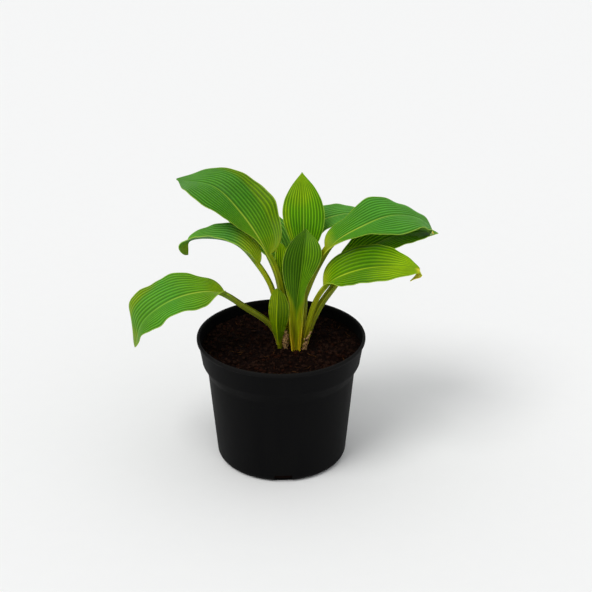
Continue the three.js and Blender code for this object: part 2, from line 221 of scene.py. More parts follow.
    # the midrib is a pale line that thins out and fades towards the tip
    midribWidth = addNode(tree, "ShaderNodeMapRange",
                          {"From Min": form["bladeStart"], "From Max": 0.8, "To Min": 0.07, "To Max": 0.024},
                          {"Value": split.outputs["Y"]})
    midribShare = addNode(tree, "ShaderNodeMath", {"operation": "DIVIDE"}, {0: reach, 1: midribWidth})
    midribLine = addNode(tree, "ShaderNodeMapRange",
                         {"interpolation_type": "SMOOTHSTEP", "From Min": 0.2, "From Max": 1.0,
                          "To Min": 0.8, "To Max": 0.0}, {"Value": midribShare})
    midribFade = addNode(tree, "ShaderNodeMapRange",
                         {"From Min": 0.46, "From Max": 0.82, "To Min": 1.0, "To Max": 0.06},
                         {"Value": split.outputs["Y"]})
    midribRise = addNode(tree, "ShaderNodeMapRange",
                         {"From Min": form["bladeStart"] - 0.05, "From Max": form["bladeStart"] + 0.08,
                          "To Min": 0.25, "To Max": 1.0}, {"Value": split.outputs["Y"]})
    midribSeen = addNode(tree, "ShaderNodeMath", {"operation": "MULTIPLY"}, {0: midribRise, 1: midribFade})
    midribOn = addNode(tree, "ShaderNodeMath", {"operation": "MULTIPLY"}, {0: midribLine, 1: midribSeen})
    withMidrib = addNode(tree, "ShaderNodeMix", {"data_type": "RGBA", "B": linear(tone["midrib"])},
                         {"Factor": midribOn, "A": streaked})

    # a hair-thin pale margin
    margin = addNode(tree, "ShaderNodeMapRange",
                     {"interpolation_type": "SMOOTHSTEP", "From Min": 0.965, "From Max": 1.0,
                      "To Max": 0.55}, {"Value": reach})
    marginOn = addNode(tree, "ShaderNodeMath", {"operation": "MULTIPLY"}, {0: margin, 1: midribRise})
    edged = addNode(tree, "ShaderNodeMix", {"data_type": "RGBA", "B": linear(tone["margin"])},
                    {"Factor": marginOn, "A": withMidrib})

    # towards the tip the green may give way to yellow; on a tip that lies in shade this is painted light
    yellowReach = addNode(tree, "ShaderNodeMath", {"operation": "MULTIPLY_ADD", 1: 0.03},
                       {0: patches, 2: growth.outputs["Fac"]})
    yellowShare = addNode(tree, "ShaderNodeMapRange",
                       {"interpolation_type": "SMOOTHSTEP", "From Min": tone["yellowFrom"],
                        "From Max": tone["yellowFrom"] + 0.04, "To Max": 0.9}, {"Value": yellowReach})
    colour = addNode(tree, "ShaderNodeMix", {"data_type": "RGBA", "B": linear(tone["dryTip"])},
                     {"Factor": yellowShare, "A": edged})

    # the streaks are waxier or duller, and cross-veins run between the ribs, under a millimetre apart
    gloss = addNode(tree, "ShaderNodeMapRange",
                    {"From Min": 0.3, "From Max": 0.7, "To Min": form["roughness"] - 0.05 + dull,
                     "To Max": form["roughness"] + 0.08 + dull}, {"Value": streaks})
    crossPlace = addNode(tree, "ShaderNodeMapping", {"Scale": (30.0, 110.0, 1.0)}, {"Vector": uv})
    crossVeins = addNode(tree, "ShaderNodeTexVoronoi", {"Scale": 1.0}, {"Vector": crossPlace})
    relief = addNode(tree, "ShaderNodeBump", {"Strength": 0.25, "Distance": 0.0002}, {"Height": crossVeins})
    setUp(tree, shader,
          {"IOR": form["ior"], "Specular IOR Level": form["specular"], "Subsurface Weight": form["scatter"],
           "Subsurface Radius": form["scatterRadius"], "Subsurface Scale": form["scatterScale"]},
          {"Base Color": colour, "Roughness": gloss, "Normal": relief})
    return material


# Dry sheath: dead papery tissue, streaked along its length and flecked with rot and soil
sheathTones = {"dark": "#6E4824", "light": "#CCA870", "rot": "#24140A"}


def drySheath():
    material, tree, shader = newMaterial("driedPaperySheath")
    uv = addNode(tree, "ShaderNodeUVMap", {"uv_map": "UVMap"})
    place = addNode(tree, "ShaderNodeTexCoord")
    streakPlace = addNode(tree, "ShaderNodeMapping", {"Scale": (14.0, 2.0, 1.0)}, {"Vector": uv})
    streaks = addNode(tree, "ShaderNodeTexNoise", {"Scale": 1.0, "Detail": 4.0}, {"Vector": streakPlace})
    colour = addNode(tree, "ShaderNodeValToRGB", links={"Fac": streaks})
    fillRamp(colour, [(0.35, sheathTones["dark"]), (0.66, sheathTones["light"])])
    # flecks about a millimetre wide
    flecks = addNode(tree, "ShaderNodeTexNoise", {"Scale": 480.0, "Detail": 3.0},
                     {"Vector": place.outputs["Object"]})
    fleckShare = addNode(tree, "ShaderNodeMapRange",
                         {"interpolation_type": "SMOOTHSTEP", "From Min": 0.5, "From Max": 0.58,
                          "To Max": 0.92}, {"Value": flecks})
    flecked = addNode(tree, "ShaderNodeMix", {"data_type": "RGBA", "B": linear(sheathTones["rot"])},
                      {"Factor": fleckShare, "A": colour})
    relief = addNode(tree, "ShaderNodeBump", {"Strength": 0.5, "Distance": 0.0003}, {"Height": streaks})
    setUp(tree, shader, {"Roughness": 0.85, "Specular IOR Level": 0.1},
          {"Base Color": flecked, "Normal": relief})
    return material


# Potting soil: moist peat, matt and nearly black, with redder fibres in it. Grain is in features to a metre
def peat(name, dark, light, grain):
    material, tree, shader = newMaterial(name)
    place = addNode(tree, "ShaderNodeTexCoord")
    grains = addNode(tree, "ShaderNodeTexNoise", {"Scale": grain, "Detail": 6.0, "Roughness": 0.7},
                     {"Vector": place.outputs["Object"]})
    colour = addNode(tree, "ShaderNodeValToRGB", links={"Fac": grains})
    fillRamp(colour, [(0.36, dark), (0.72, light)])
    relief = addNode(tree, "ShaderNodeBump", {"Strength": 0.8, "Distance": 0.0006}, {"Height": grains})
    setUp(tree, shader, {"Roughness": 0.95, "Specular IOR Level": 0.03},
          {"Base Color": colour, "Normal": relief})
    return material


# Black polypropylene, moulded thin: a soft sheen, faint flow marks, a lighter lip, and painted shade on the
# slope under the band
plasticForm = {
    "dark": "#050506", "light": "#0D0D0D", "worn": "#242322", "clean": "#020202",
    "lip": (0.129, 0.1336),     # heights in metres between which the colour grows lighter towards the lip
    "slope": 0.102,             # and height of the slope under the band, drawn darker as painted shade
    "ior": 1.49, "specular": 0.045,
}


def potPlastic():
    material, tree, shader = newMaterial("mouldedBlackPolypropylene")
    form = plasticForm
    place = addNode(tree, "ShaderNodeTexCoord")
    flowPlace = addNode(tree, "ShaderNodeMapping", {"Scale": (30.0, 30.0, 7.0)},
                        {"Vector": place.outputs["Object"]})
    flow = addNode(tree, "ShaderNodeTexNoise", {"Scale": 1.0, "Detail": 5.0, "Roughness": 0.6},
                   {"Vector": flowPlace})
    colour = addNode(tree, "ShaderNodeValToRGB", links={"Fac": flow})
    fillRamp(colour, [(0.3, form["dark"]), (0.75, form["light"])])
    height = addNode(tree, "ShaderNodeSeparateXYZ", links={"Vector": place.outputs["Object"]})
    # the pot is drawn lighter towards its lip
    lipPaleShare = addNode(tree, "ShaderNodeMapRange",
                      {"From Min": form["lip"][0], "From Max": form["lip"][1], "To Max": 0.35},
                      {"Value": height.outputs["Z"]})
    worn = addNode(tree, "ShaderNodeMix", {"data_type": "RGBA", "B": linear(form["worn"])},
                   {"Factor": lipPaleShare, "A": colour})
    # painted shade: the slope under the band faces downwards, so it is drawn blacker
    fromSlope = addNode(tree, "ShaderNodeMath", {"operation": "SUBTRACT", 1: form["slope"]},
                        {0: height.outputs["Z"]})
    awayFromSlope = addNode(tree, "ShaderNodeMath", {"operation": "ABSOLUTE"}, {0: fromSlope})
    slopeShade = addNode(tree, "ShaderNodeMapRange",
                         {"interpolation_type": "SMOOTHSTEP", "From Min": 0.0035, "From Max": 0.0065,
                          "To Min": 0.45, "To Max": 0.0}, {"Value": awayFromSlope})
    clean = addNode(tree, "ShaderNodeMix", {"data_type": "RGBA", "B": linear(form["clean"])},
                    {"Factor": slopeShade, "A": worn})
    dull = addNode(tree, "ShaderNodeMapRange",
                   {"From Min": 0.3, "From Max": 0.7, "To Min": 0.5, "To Max": 0.66}, {"Value": flow})
    # spark-eroded mould grain, drawn at 0.8 mm so that it shows
    grain = addNode(tree, "ShaderNodeTexNoise", {"Scale": 1250.0, "Detail": 2.0},
                    {"Vector": place.outputs["Object"]})
    relief = addNode(tree, "ShaderNodeBump", {"Strength": 0.25, "Distance": 0.0001}, {"Height": grain})
    setUp(tree, shader, {"IOR": form["ior"], "Specular IOR Level": form["specular"]},
          {"Base Color": clean, "Roughness": dull, "Normal": relief})
    return material


underside = leafSkin("downyLeafUnderside", undersideTones, dull=0.2)    # no wax gloss: paler and matt
sheath = drySheath()
peatBed = peat("moistPeat", "#040202", "#1C0F0A", 420.0)
peatCrumb = peat("peatCrumb", "#0A0604", "#372219", 700.0)
barkCrumb = peat("barkCrumb", "#110805", "#34190E", 500.0)
paleFibre = peat("paleRootFibre", "#2C160A", "#6E4A26", 600.0)
crownBark = peat("crownBark", "#100805", "#3A2A14", 500.0)
plastic = potPlastic()
print("materials made")


# Pot

potForm = {
    "segments": 192, "wall": 1.5, "smoothAngle": 32,
    "baseRadius": 67.0, "corner": 7.0, "cornerSteps": 7,
    # radius and height from the bottom corner up the outside
    "outside": [(74.6, 94.4), (74.85, 96.4), (75.3, 97.8), (79.7, 106.5), (80.2, 107.9), (80.4, 109.8),
                (83.2, 127.4), (83.5, 129.2), (83.8, 129.8), (84.7, 130.1), (85.1, 130.6), (85.2, 131.2),
                (85.2, 132.6), (84.9, 133.3), (84.3, 133.6)],
    # and down the inside
    "inside": [(83.0, 133.6), (82.5, 133.4), (82.2, 132.8), (82.1, 131.0), (79.1, 110.0), (78.6, 108.0),
               (73.9, 98.8), (73.2, 96.4)],
    "notches": {"count": 4, "width": 18.0, "height": 8.5, "reach": 5.0, "turn": 2.0,
                "rounding": 1.2, "roundingSteps": 3},
}


def cornerArc(inset):
    points = []
    for step in range(potForm["cornerSteps"] + 1):
        angle = step / potForm["cornerSteps"] * math.pi / 2
        radius = potForm["corner"] - inset
        points.append((potForm["baseRadius"] - potForm["corner"] + radius * math.sin(angle),
                       potForm["corner"] - radius * math.cos(angle)))
    return points


def turnedPiece(profile, segments):
    # one ring is extruded and scaled from point to point of the profile, then both ends are closed
    first, *rest = profile
    bpy.ops.mesh.primitive_circle_add(vertices=segments, radius=first[0] * mm, location=(0, 0, first[1] * mm))
    piece = bpy.context.object
    bpy.ops.object.transform_apply(location=True)
    bpy.ops.object.mode_set(mode="EDIT")
    bpy.ops.mesh.select_all(action="SELECT")
    radius, height = first
    for nextRadius, nextHeight in rest:
        bpy.ops.mesh.extrude_edges_move(
            TRANSFORM_OT_translate={"value": (0, 0, (nextHeight - height) * mm)})
        bpy.ops.transform.resize(value=(nextRadius / radius, nextRadius / radius, 1),
                                 center_override=(0, 0, nextHeight * mm))
        radius, height = nextRadius, nextHeight
    bpy.ops.mesh.select_all(action="SELECT")
    bpy.ops.mesh.fill_holes(sides=0)
    bpy.ops.mesh.select_all(action="SELECT")
    bpy.ops.mesh.normals_make_consistent(inside=False)
    bpy.ops.object.mode_set(mode="OBJECT")
    return piece


def makePot():
    profile = cornerArc(0) + potForm["outside"] + potForm["inside"] + cornerArc(potForm["wall"])[::-1]
    pot = turnedPiece(profile, potForm["segments"])
    notch = potForm["notches"]
    radius = potForm["baseRadius"] * mm
    cutters = []
    for i in range(notch["count"]):
        angle = math.radians(notch["turn"]) + i / notch["count"] * 2 * math.pi
        place = (radius * math.cos(angle), radius * math.sin(angle), 0)
        bpy.ops.mesh.primitive_cube_add(size=1, location=place, rotation=(0, 0, angle))
        cutter = bpy.context.object
        cutter.scale = (2 * notch["reach"] * mm, notch["width"] * mm, 2 * notch["height"] * mm)
        bpy.ops.object.transform_apply(location=True, rotation=True, scale=True)
        rounded = cutter.modifiers.new("round", "BEVEL")
        rounded.width = notch["rounding"] * mm
        rounded.segments = notch["roundingSteps"]
        applyModifiers(cutter)
        cutters.append(cutter)
    makeActive(cutters[0])
    for cutter in cutters:
        cutter.select_set(True)
    bpy.ops.object.join()
    cutter = bpy.context.object
    cut = pot.modifiers.new("drainNotches", "BOOLEAN")
    cut.operation = "DIFFERENCE"
    cut.solver = "EXACT"
    cut.object = cutter
    applyModifiers(pot)
    bpy.data.objects.remove(cutter)
    bpy.ops.object.shade_smooth_by_angle(angle=math.radians(potForm["smoothAngle"]))
    pot.data.materials.append(plastic)
    settle(pot, "nurseryPot", ["pot"])


makePot()
print("pot made")


# Soil and crown

soilForm = {
    "segments": 220, "height": 121.5, "radius": 80.6, "rings": 74, "smoothAngle": 50,
    "slope": [(74.9, 97.4), (80.2, 108.0)],     # radius and height of the pot's outside round its slope
    "inset": 0.5,              # clear of the pot's inside
    "levelEdge": 3.0,          # the unevenness dies out over this width
    "clod": 1.2, "clodSize": 0.13,      # height in millimetres, and features to a millimetre
    "grit": 0.45, "gritSize": 0.45,
}


def soilSurface(x, y):
    # millimetres in and out: the same slow swell as the frame's soil, with clods and grit on it
    swell = (0.9 * math.sin(x / 5.3 + 1.3) * math.cos(y / 6.1 + 0.4) + 0.6 * math.sin((x + y) / 9.7)
             + 0.5 * math.cos((x - 2 * y) / 13.1))
    clods = noise.noise((x * soilForm["clodSize"], y * soilForm["clodSize"], 3.1)) * soilForm["clod"] * 2
    grit = noise.noise((x * soilForm["gritSize"], y * soilForm["gritSize"], 7.7)) * soilForm["grit"] * 2
    return soilForm["height"] + swell + clods + grit


def makeSoilBed():
    wall = potForm["wall"] + soilForm["inset"]
    outer, top = soilForm["radius"], soilForm["height"]
    profile = cornerArc(wall) + [(radius - wall, height) for radius, height in soilForm["slope"]]
    step = outer / (soilForm["rings"] + 1)
    profile += [(outer - step * i, top) for i in range(soilForm["rings"] + 1)]
    bed = turnedPiece(profile, soilForm["segments"])
    for vertex in bed.data.vertices:
        x, y, z = vertex.co / mm
        if z > top - 0.01:
            fade = min(1, (outer - math.hypot(x, y)) / soilForm["levelEdge"])
            vertex.co.z = (top + (soilSurface(x, y) - top) * fade) * mm
    bpy.ops.object.shade_smooth_by_angle(angle=math.radians(soilForm["smoothAngle"]))
    bed.data.materials.append(peatBed)
    return bed


crumbForm = {
    "seed": 11,
    "dent": 0.45, "dentSize": 1.3, "squash": (1.25, 0.9, 0.65),
    "fibreWidth": 0.42, "fibreTaper": 1.2, "fibreBend": (5.0, 1.4),     # sideways and upwards, in widths
    "chipShares": (0.5, 0.16), "chipThickness": 0.5,                    # length and width as shares
    "tilt": 0.35,              # how far anything leans at most, in radians
    # how many, how long in millimetres, how high in shares of the thickness, and how far out they lie
    "fineCrumbs": {"count": 1500, "length": (0.45, 1.1), "lift": 0.25, "reach": 79.0},
    "peatCrumbs": {"count": 315, "length": (1.1, 2.4), "lift": 0.2, "reach": 77.5},
    "barkCrumbs": {"count": 105, "length": (1.1, 2.4), "lift": 0.2, "reach": 77.5},
    "barkFibres": {"count": 62, "length": (4.0, 13.0), "lift": 0.9, "reach": 75.0},
    "rootFibres": {"count": 27, "length": (4.0, 13.0), "lift": 0.9, "reach": 75.0},
    "barkChips": {"count": 46, "length": (3.0, 7.5), "lift": 0.4, "reach": 76.0},
}


def crumbShape(subdivisions, seed):
    # one rough lump, squashed and dented
    bpy.ops.mesh.primitive_ico_sphere_add(subdivisions=subdivisions, radius=1)
    lump = bpy.context.object
    for vertex in lump.data.vertices:
        dent = noise.noise(vertex.co * crumbForm["dentSize"] + Vector((seed * 9.7, seed, 0)))
        vertex.co *= 1 + crumbForm["dent"] * dent
    lump.scale = crumbForm["squash"]
    bpy.ops.object.transform_apply(scale=True)
    return lump


def fibreShape(seed):
    # a root or bark strand: a square tube, bent as it lies
    sideways, upwards = crumbForm["fibreBend"]
    bpy.ops.mesh.primitive_cube_add(size=1)
    strand = bpy.context.object
    bpy.ops.object.mode_set(mode="EDIT")
    bpy.ops.mesh.select_all(action="SELECT")
    bpy.ops.mesh.subdivide(number_cuts=5)
    bpy.ops.object.mode_set(mode="OBJECT")
    for vertex in strand.data.vertices:
        x = vertex.co.x
        thin = 1 - crumbForm["fibreTaper"] * abs(x) ** 1.5
        vertex.co.y = vertex.co.y * thin + sideways * noise.noise((x * 1.6, seed * 3.3, 0.5))
        vertex.co.z = vertex.co.z * thin + upwards * noise.noise((x * 2.1, 8.0, seed * 2.3))
    return strand


def lumpSize(length):
    return length, length, length


def fibreSize(length):
    return length, crumbForm["fibreWidth"], crumbForm["fibreWidth"]


def chipSize(length):
    lengthShare, widthShare = crumbForm["chipShares"]
    return length * lengthShare, length * widthShare, crumbForm["chipThickness"]


def scattered(shapes, form, sizeOf, rng):
    # copies of the shapes, each with a mesh of its own, laid on the soil
    made = []
    tilt = crumbForm["tilt"]
    for i in range(form["count"]):
        shape = shapes[i % len(shapes)]
        copy = shape.copy()
        copy.data = shape.data.copy()
        bpy.context.collection.objects.link(copy)
        angle = rng.uniform(0, 2 * math.pi)
        radius = form["reach"] * math.sqrt(rng.random())
        x, y = radius * math.cos(angle), radius * math.sin(angle)
        size = sizeOf(rng.uniform(*form["length"]))
        copy.scale = [s * mm for s in size]
        copy.rotation_euler = (rng.uniform(-tilt, tilt), rng.uniform(-tilt, tilt),
                               rng.uniform(0, 2 * math.pi))
        copy.location = (x * mm, y * mm, (soilSurface(x, y) + form["lift"] * size[2]) * mm)
        made.append(copy)
    return made


def makeSoil():
    bed = makeSoilBed()
    rng = random.Random(crumbForm["seed"])
    prototypes = []
    laid = []

    def laidOut(kind, shapes, material, sizeOf):
        for shape in shapes:
            shape.data.materials.append(material)
        prototypes.extend(shapes)
        laid.extend(scattered(shapes, crumbForm[kind], sizeOf, rng))

    laidOut("fineCrumbs", [crumbShape(1, seed) for seed in range(5)], peatCrumb, lumpSize)
    laidOut("peatCrumbs", [crumbShape(2, seed) for seed in range(20, 25)], peatCrumb, lumpSize)
    laidOut("barkCrumbs", [crumbShape(2, seed) for seed in range(40, 43)], barkCrumb, lumpSize)
    laidOut("barkFibres", [fibreShape(seed) for seed in range(6)], barkCrumb, fibreSize)
    laidOut("rootFibres", [fibreShape(seed) for seed in range(6, 10)], paleFibre, fibreSize)
    laidOut("barkChips", [crumbShape(2, seed) for seed in range(60, 63)], barkCrumb, chipSize)
    for shape in prototypes:
        bpy.data.objects.remove(shape)
    makeActive(bed)
    for piece in laid:
        piece.select_set(True)
    bpy.ops.object.join()
    settle(bed, "pottingSoil", ["soil"])


crownForm = {
    "detail": 5, "seed": 3,
    "size": (18.5, 22.0, 19.0), "place": (10.0, 0.5, 109.5),
    "bump": 1.4, "bumpSize": 260,       # height in millimetres, and features to a metre
}


def makeCrown():
    # a rough mound of old stalk bases, mostly under the soil
    crown = crumbShape(crownForm["detail"], crownForm["seed"])
    crown.scale = [value * mm for value in crownForm["size"]]
    crown.location = [value * mm for value in crownForm["place"]]
    bpy.ops.object.transform_apply(location=True, scale=True)
    for vertex in crown.data.vertices:
        bump = noise.noise(vertex.co * crownForm["bumpSize"])
        vertex.co += vertex.normal * bump * crownForm["bump"] * mm
    crown.data.materials.append(crownBark)
    bpy.ops.object.shade_smooth()
    settle(crown, "rootCrown", ["crown"])


makeSoil()
makeCrown()
print("soil and crown made")


# Leaves: the same forms as in the frame, with finer ribs, margins and tips

leafForm = {
    "footBottom": 110.3, "footTop": 123.0,
    "stalk": (4.2, 3.4, 2.8),  # half-widths at the foot and the neck, and thickness
    "stalkFold": 22.0, "stalkArch": -48.0, "stalkEdge": 1.3,
    "bladeKeel": 1.9, "tipKeel": 0.7, "bladeEdge": 0.75, "tipHalfWidth": 0.45,
    "stalkRound": 2.0, "bladeRound": 9.0,       # how fast the flesh thins from the keel to the margin
    "openFrom": -0.08, "openSpread": 0.3,       # where along the blade the stalk's channel opens out
    "closeFrom": 0.75, "closeSpread": 0.25,     # and where the fold halves towards the tip
    "curl": (0, 0), "curlStart": 0.6, "curlSpread": 0.1, "curlEnd": 0.35, "curlFade": 0.3,
    "ribHeight": 0.75,
    "ribPeak": 1.3, "ribSink": 0.4,     # how sharp the crests are, and how far the ribs sink into the blade
    "ribRoom": 3.6,            # ribs that lie closer than this are lower
    "midribGroove": 0.45, "grooveWidth": 1.3,
    "fineWaves": 7, "fineWaveHeight": 0.35, "ragged": 0,
    "ribs": 7, "columnsPerRib": 6, "rows": 150,
    "notch": 0.03,             # the margins keep the stalk's colour further up than the middle does
    "greenDown": 0.0,          # how far the blade's colour runs down the stalk
    "palePatches": [],         # place along and across the blade, and how far each patch spreads
    "paleCore": 0.8, "paleEdge": 0.35,  # how much of a patch is whole, and how softly it ends
    "bumps": [],               # place along, side, height at the margin and how far it spreads
    "twist": 0, "twistFrom": 0.85, "twistSpread": 0.12,
    "smoothAngle": 55,
    "tones": {}, "sameBothSides": False,
}
leaves = {
    "leaf_upper_left": {
        "foot": (7, -1), "bearing": 145, "ribs": 10,
        "midrib": [(2, 3, 160), (-4, 7, 196), (-17, 16, 223), (-40, 32, 253), (-66, 50, 273),
                   (-107, 79, 271)],
        "bladeStart": 0.44, "width": (33, 38.5), "fold": (8, 26), "arch": (20, 30), "curl": (0, 42),
        "outline": ((2.1, 1.4), (0.5, 0.6)), "ripple": (1.2, 3, 0), "stalk": (4.4, 3.6, 3),
        # painted light: the pale strip along the right margin stands for light coming through the upturned
        # edge
        "palePatches": [(0.22, -1.05, 0.55, 0.42), (0.0, 0.0, 0.12, 1.5)],
        "tones": {"stalk": "#B6C014", "base": "#6C9C0C", "middle": "#4E8E1E", "tip": "#609E3E",
                  "pale": "#6E9402", "streak": "#8C920E"},
        "bumps": [(0.3, 1, 1.5, 0.08), (0.85, 1, 4.0, 0.12)],
    },
    "leaf_middle_left": {
        "foot": (1, 8), "bearing": 174,
        "midrib": [(-5, 11, 163), (-12, 13, 186), (-26, 15, 208), (-44, 16, 226), (-66, 17, 232),
                   (-91, 18, 228), (-93, 18, 213.5)],
        "bladeStart": 0.51, "width": (18, 20), "fold": (30, 45), "arch": (10, 20),
        "outline": ((0.8, 0.5), (0.6, 1.25)), "ripple": (0.8, 2, 0),
        # painted light: this leaf lies in the shade of the upper left leaf, so its tones are drawn brighter,
        # and its tip flap, in shade, is drawn pale
        "palePatches": [(0.0, -0.6, 0.25, 1.0), (0.98, 0.0, 0.1, 1.0)],
        "tones": {"stalk": "#B4C012", "base": "#8EB01A", "middle": "#68AC46", "tip": "#74B234",
                  "pale": "#A6C024", "streak": "#8C920E"},
        "twist": -18, "twistFrom": 0.78,
        "paleEdge": 0.8, "sameBothSides": True,
    },
    "leaf_lower_left": {
        "foot": (-2, 1), "bearing": 195, "ribs": 9,
        "midrib": [(-9, -1, 143), (-35, -11, 169), (-61, -18, 189), (-84, -24, 191), (-110, -32, 184.5),
                   (-134, -38, 166), (-143, -40, 140)],
        "bladeStart": 0.46, "width": (36.5, 48), "fold": (14, 16), "arch": (25, 20),
        "outline": ((0.6, 0.9), (0.75, 0.42)), "ripple": (2, 2.3, 1), "stalk": (4.4, 3.6, 3),
        "palePatches": [(0.8, -1.0, 0.25, 0.35), (0.0, 0.0, 0.12, 1.0), (1.0, 0.0, 0.12, 1.0)],
        "tones": {"foot": "#6E7208", "stalk": "#607004", "base": "#78A41A", "middle": "#60A82E",
                  "tip": "#5E9018", "pale": "#7EA00C"},
        "paleEdge": 0.6, "bumps": [(0.25, 1, 3.0, 0.14), (0.62, 0, -1.5, 0.06), (0.8, 0, 1.5, 0.06)],
    },
    "leaf_centre_back": {
        "foot": (15, 11), "bearing": 90, "ribHeight": 0.5,
        "midrib": [(17, 15, 150), (19, 21, 185), (22, 31, 222), (22.5, 42, 258), (21, 55, 287)],
        "bladeStart": 0.47, "width": (21, 21), "fold": (12, 12), "arch": (10, 10),
        "outline": ((1.6, 1.1), (1.3, 1.1)), "ripple": (0.6, 2, 0), "stalk": (3.8, 3.2, 2.6),
        # partly painted light: the pale patches and yellow-green tones stand for light coming through the
        # upright blade
        "palePatches": [(0.95, 0.2, 0.25, 0.9), (0.3, 1.05, 0.5, 0.35)],
        "tones": {"base": "#80AC06", "middle": "#6CAC08", "tip": "#88B80A", "pale": "#9ABE0C",
                  **backlitVeins},
        "paleEdge": 0.6,
    },
    "leaf_centre_front": {
        "foot": (15, -9), "bearing": 88, "ribHeight": 0.5, "notch": 0.2, "greenDown": 0.05,
        "midrib": [(15, -10, 145), (16, -6, 170), (20, 2, 200), (22.5, 12, 224), (25, 22, 240)],
        "bladeStart": 0.38, "width": (19.5, 19.5), "fold": (24, 24), "arch": (10, 10),
        "outline": ((1.4, 1.05), (3.3, 1.4)), "ripple": (0.6, 2, 0), "stalk": (4.4, 8.6, 3.2),
        # painted light and shade: the right half is drawn paler where light falls on it, and the tones are
        # darkened for the shade on the left half
        "palePatches": [(0.6, -0.7, 0.55, 0.68)],
        "tones": {"foot": "#DCBC1C", "stalk": "#AAB40C", "base": "#567E02", "middle": "#4A7204",
                  "tip": "#527E06", "pale": "#6A9802", "midrib": "#749A12", **backlitVeins},
    },
    "leaf_upper_right": {
        "foot": (18, 2), "bearing": 20, "ribs": 9,
        "midrib": [(19.5, 3.5, 155), (26, 5.5, 179), (37.5, 9, 206), (51.5, 13.5, 227), (80, 24, 241.5),
                   (110, 34, 249), (140, 45, 241), (155, 50, 223)],
        "bladeStart": 0.475, "width": (32, 38), "fold": (22, 4), "arch": (15, 12),
        "outline": ((0.7, 0.68), (1.6, 1)), "ripple": (2.6, 2, 2), "stalk": (4.4, 5.2, 3),
        "palePatches": [(1.0, 0.0, 0.05, 1.0)],
        "tones": {"stalk": "#B2BC12", "base": "#5C9C18", "middle": "#569E32", "tip": "#66A444",
                  "streak": "#868A0E", "yellowFrom": 0.96},
        "bumps": [(0.3, 0, -2.0, 0.1), (0.72, 0, -1.5, 0.07), (0.45, 1, -2.0, 0.12), (0.69, 1, 3.5, 0.07),
                  (0.76, 1, -3.0, 0.06), (0.85, 0, -3.0, 0.07)],
        "twist": -20, "twistFrom": 0.8,
    },
    "leaf_under_right": {
        "foot": (25, 3), "bearing": 20,
        "midrib": [(38.5, 8, 159), (55, 13.5, 182.5), (66, 18, 198), (88, 28, 216), (116, 40, 225),
                   (140, 50, 224), (160.5, 59, 220)],
        "bladeStart": 0.42, "width": (26.5, 26), "fold": (22, 8), "arch": (5, 15),
        "outline": ((0.65, 0.6), (0.9, 1.1)), "ripple": (1, 2, 0), "stalk": (4.4, 4.4, 2.9),
        # painted light: this leaf lies in the shade of the leaf above, and its bright yellow-green tones
        # stand for light coming through that leaf
        "tones": {"base": "#9AC60C", "middle": "#84C00E", "tip": "#78B40E", **backlitVeins},
    },
    "leaf_lower_right": {
        "foot": (23, -5), "bearing": 345,
        "midrib": [(29, -7, 155), (37, -9, 181), (51, -12, 199), (77, -18, 213), (104, -26, 220),
                   (124, -32, 222), (133.5, -35, 219), (125, -34, 208)],
        "bladeStart": 0.415, "width": (41, 37), "fold": (24, 6), "arch": (15, 15),
        "outline": ((0.8, 1.75), (1.3, 1.5)), "ripple": (1.2, 2, 0),
        # painted light: the curled-under tip lies in shade, and its pale and yellow tones stand for light
        # coming through it
        "palePatches": [(0.95, -0.2, 0.25, 1.0)], "paleEdge": 1.5,
        "tones": {"stalk": "#AEB618", "base": "#76A406", "middle": "#5A9000", "tip": "#86B00A",
                  "pale": "#98BC04", "midrib": "#B0C62C", "dryTip": "#F0DC3C", "yellowFrom": 0.885},
        "twist": 30, "twistFrom": 0.8, "sameBothSides": True,
    },
    "leaf_small_front": {
        "foot": (-1, -6), "bearing": 250, "ribs": 4, "rows": 90,
        "midrib": [(-3, -12, 138), (-4, -15, 156), (-3.5, -14, 173), (-3, -9, 189)],
        "bladeStart": 0.25, "width": (11.5, 11), "fold": (25, 25), "arch": (0, 0),
        "outline": ((1.2, 0.75), (1.1, 0.65)), "ripple": (0, 2, 0), "stalk": (3.8, 3.2, 2.6),
        # painted light: the half towards the light is drawn paler than the half in shade
        "palePatches": [(0.5, -0.65, 0.9, 0.65)],
        "tones": {"foot": "#DCC41C", "stalk": "#B2B00E", "base": "#8CA400", "middle": "#7E9800",
                  "tip": "#98AE08", "pale": "#B0BE08", "midrib": "#9CB00E", "hollowTintAndShade": "#90A864",
                  "veinFrom": -0.1},
        "sameBothSides": True,
    },
    "leaf_small_centre": {
        "foot": (8, 5.5), "bearing": 110, "ribs": 3, "rows": 90,
        "midrib": [(7, 8.5, 150), (4, 13, 178), (1.5, 17, 203), (0, 20, 225)],
        "bladeStart": 0.5, "width": (8.5, 7), "fold": (15, 20), "arch": (0, 0),
        "outline": ((1, 0.6), (1, 0.6)), "ripple": (0, 2, 0), "stalk": (3.2, 2.8, 2.4),
        "tones": {"base": "#9CC00C", "middle": "#9CC20C", "tip": "#A0C60C", **backlitVeins},
        "sameBothSides": True,
    },
    "leaf_back_right": {
        "foot": (21, 12.5), "bearing": 36,
        "midrib": [(24, 21, 155), (25, 33, 190), (28, 45, 215), (38, 52, 234), (60, 62, 239), (86, 76, 235),
                   (112, 90, 223)],
        "bladeStart": 0.42, "width": (29, 22), "fold": (8, 0), "arch": (15, 10),
        "outline": ((0.85, 0.95), (1.5, 0.9)), "ripple": (1, 2, 0),
        # the teal of these tones is partly painted sheen
        "tones": {"base": "#68A01C", "middle": "#62A63A", "tip": "#62A642"},
    },
    "leaf_back_left": {
        "foot": (8, 14), "bearing": 135,
        "midrib": [(8, 20, 160), (5, 29, 192), (-7, 43, 217), (-26, 60, 232), (-42, 74, 235), (-55, 85, 231)],
        "bladeStart": 0.42, "width": (28, 27), "fold": (6, 12), "arch": (15, 15),
        "outline": ((1.2, 0.9), (0.85, 0.95)), "ripple": (1, 2, 0),
        # painted light: these tones are drawn brighter, as the leaf lies in the shade of the upper left leaf
        "tones": {"base": "#9CD43A", "middle": "#94D452", "tip": "#80C450"},
    },
}
